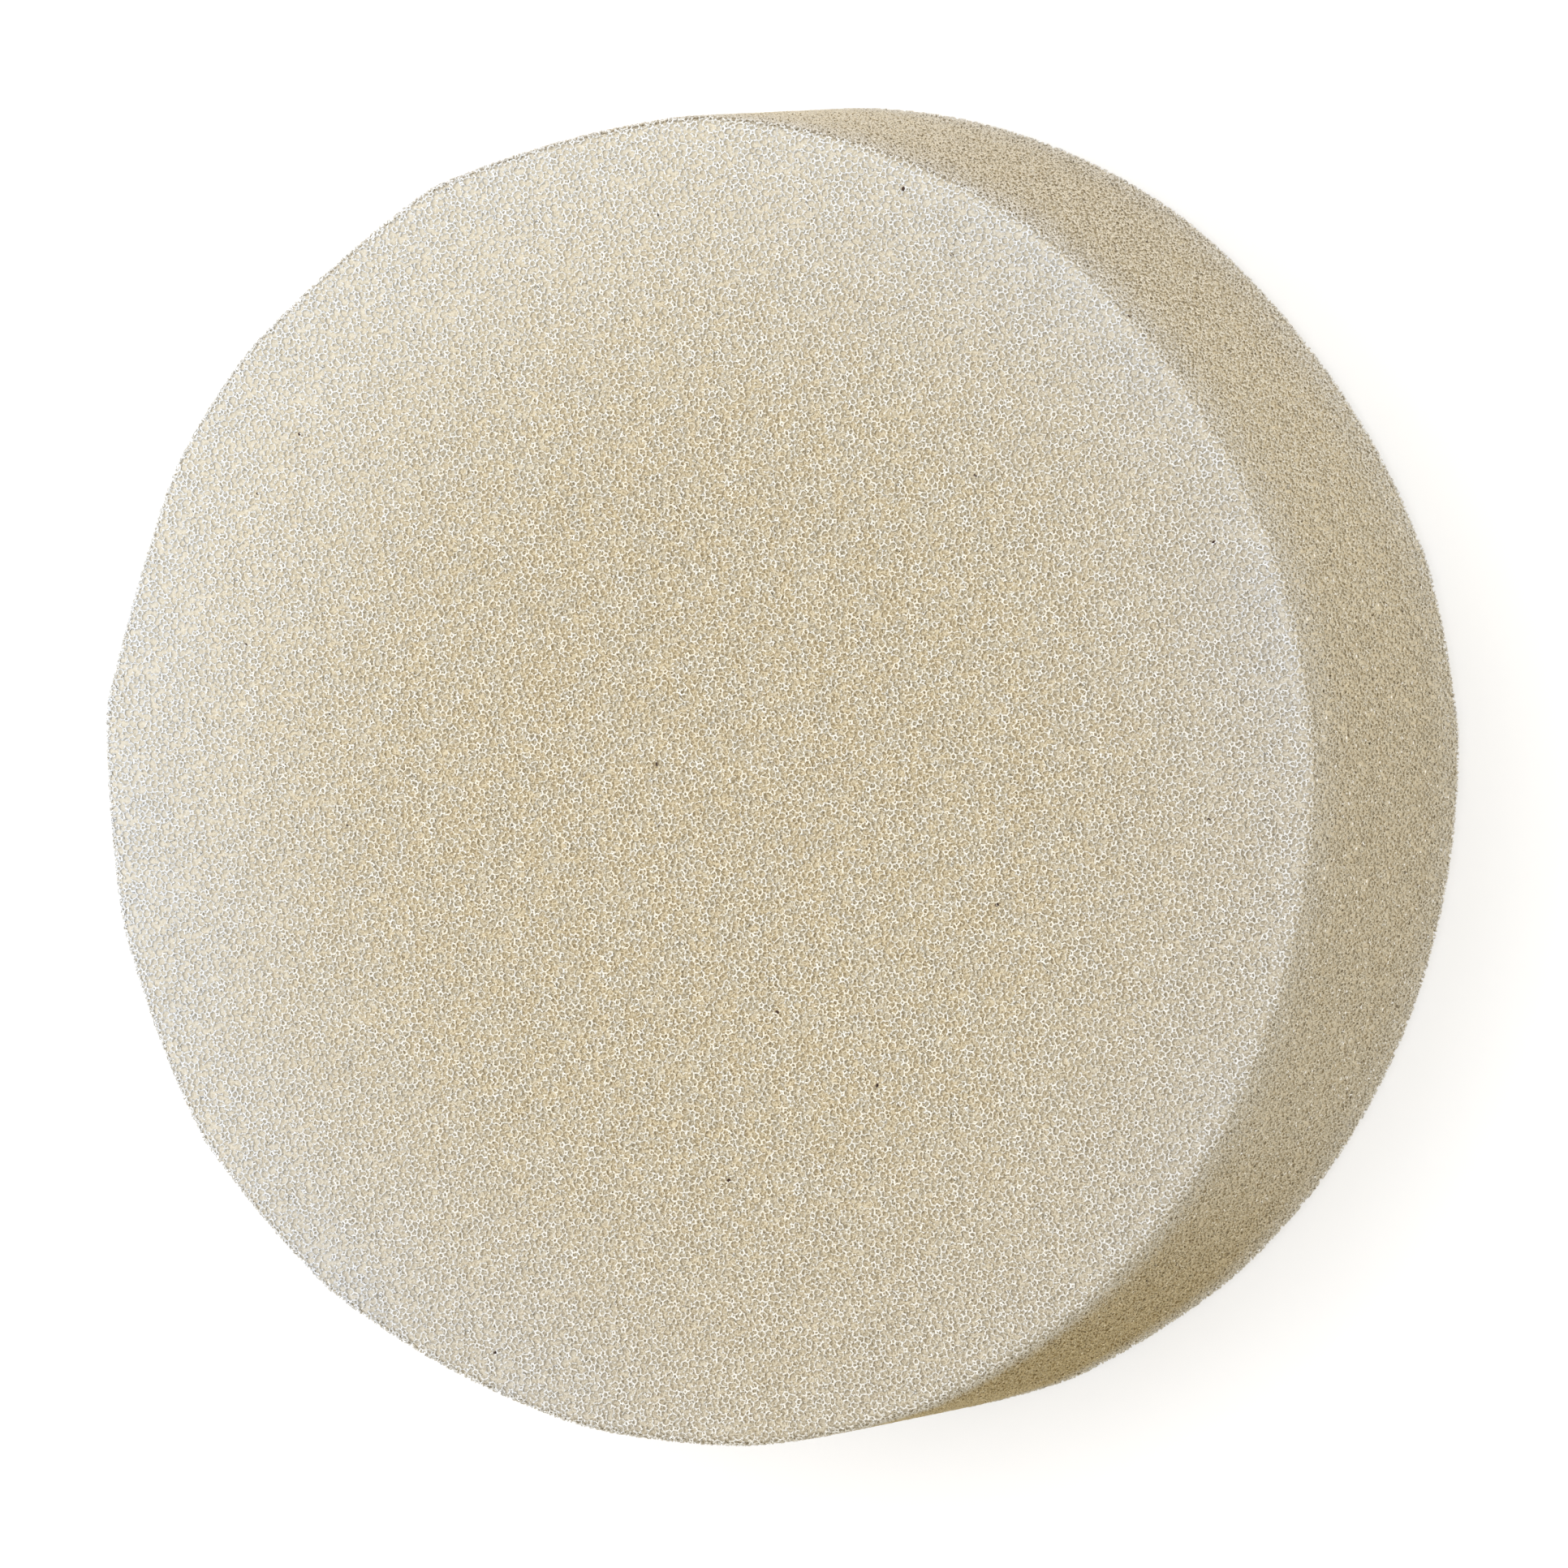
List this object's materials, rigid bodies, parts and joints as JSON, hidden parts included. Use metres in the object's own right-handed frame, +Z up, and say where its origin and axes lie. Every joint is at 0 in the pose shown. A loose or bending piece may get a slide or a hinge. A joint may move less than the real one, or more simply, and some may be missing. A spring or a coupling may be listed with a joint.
{
  "type": "sponge filter",
  "caption": "Thick round disc of open-cell filter foam with flat faces, a softly rounded rim and a slightly uneven hand-cut wall.",
  "frame": {"origin": "middle of the underside, at the centre of the bounding box's bottom face", "axes": "+Z up through the thickness from one face to the other; X and Y lie in the faces, and -Y points to the stretch of wall with the widest view in the source picture"},
  "size_m": [0.1406, 0.1402, 0.042],
  "materials": {
    "foam": "matte open-cell polyurethane foam, cream to ivory, uncoated"
  },
  "bodies": {
    "root": {"foam_disc": "foam"}
  },
  "joints": []
}
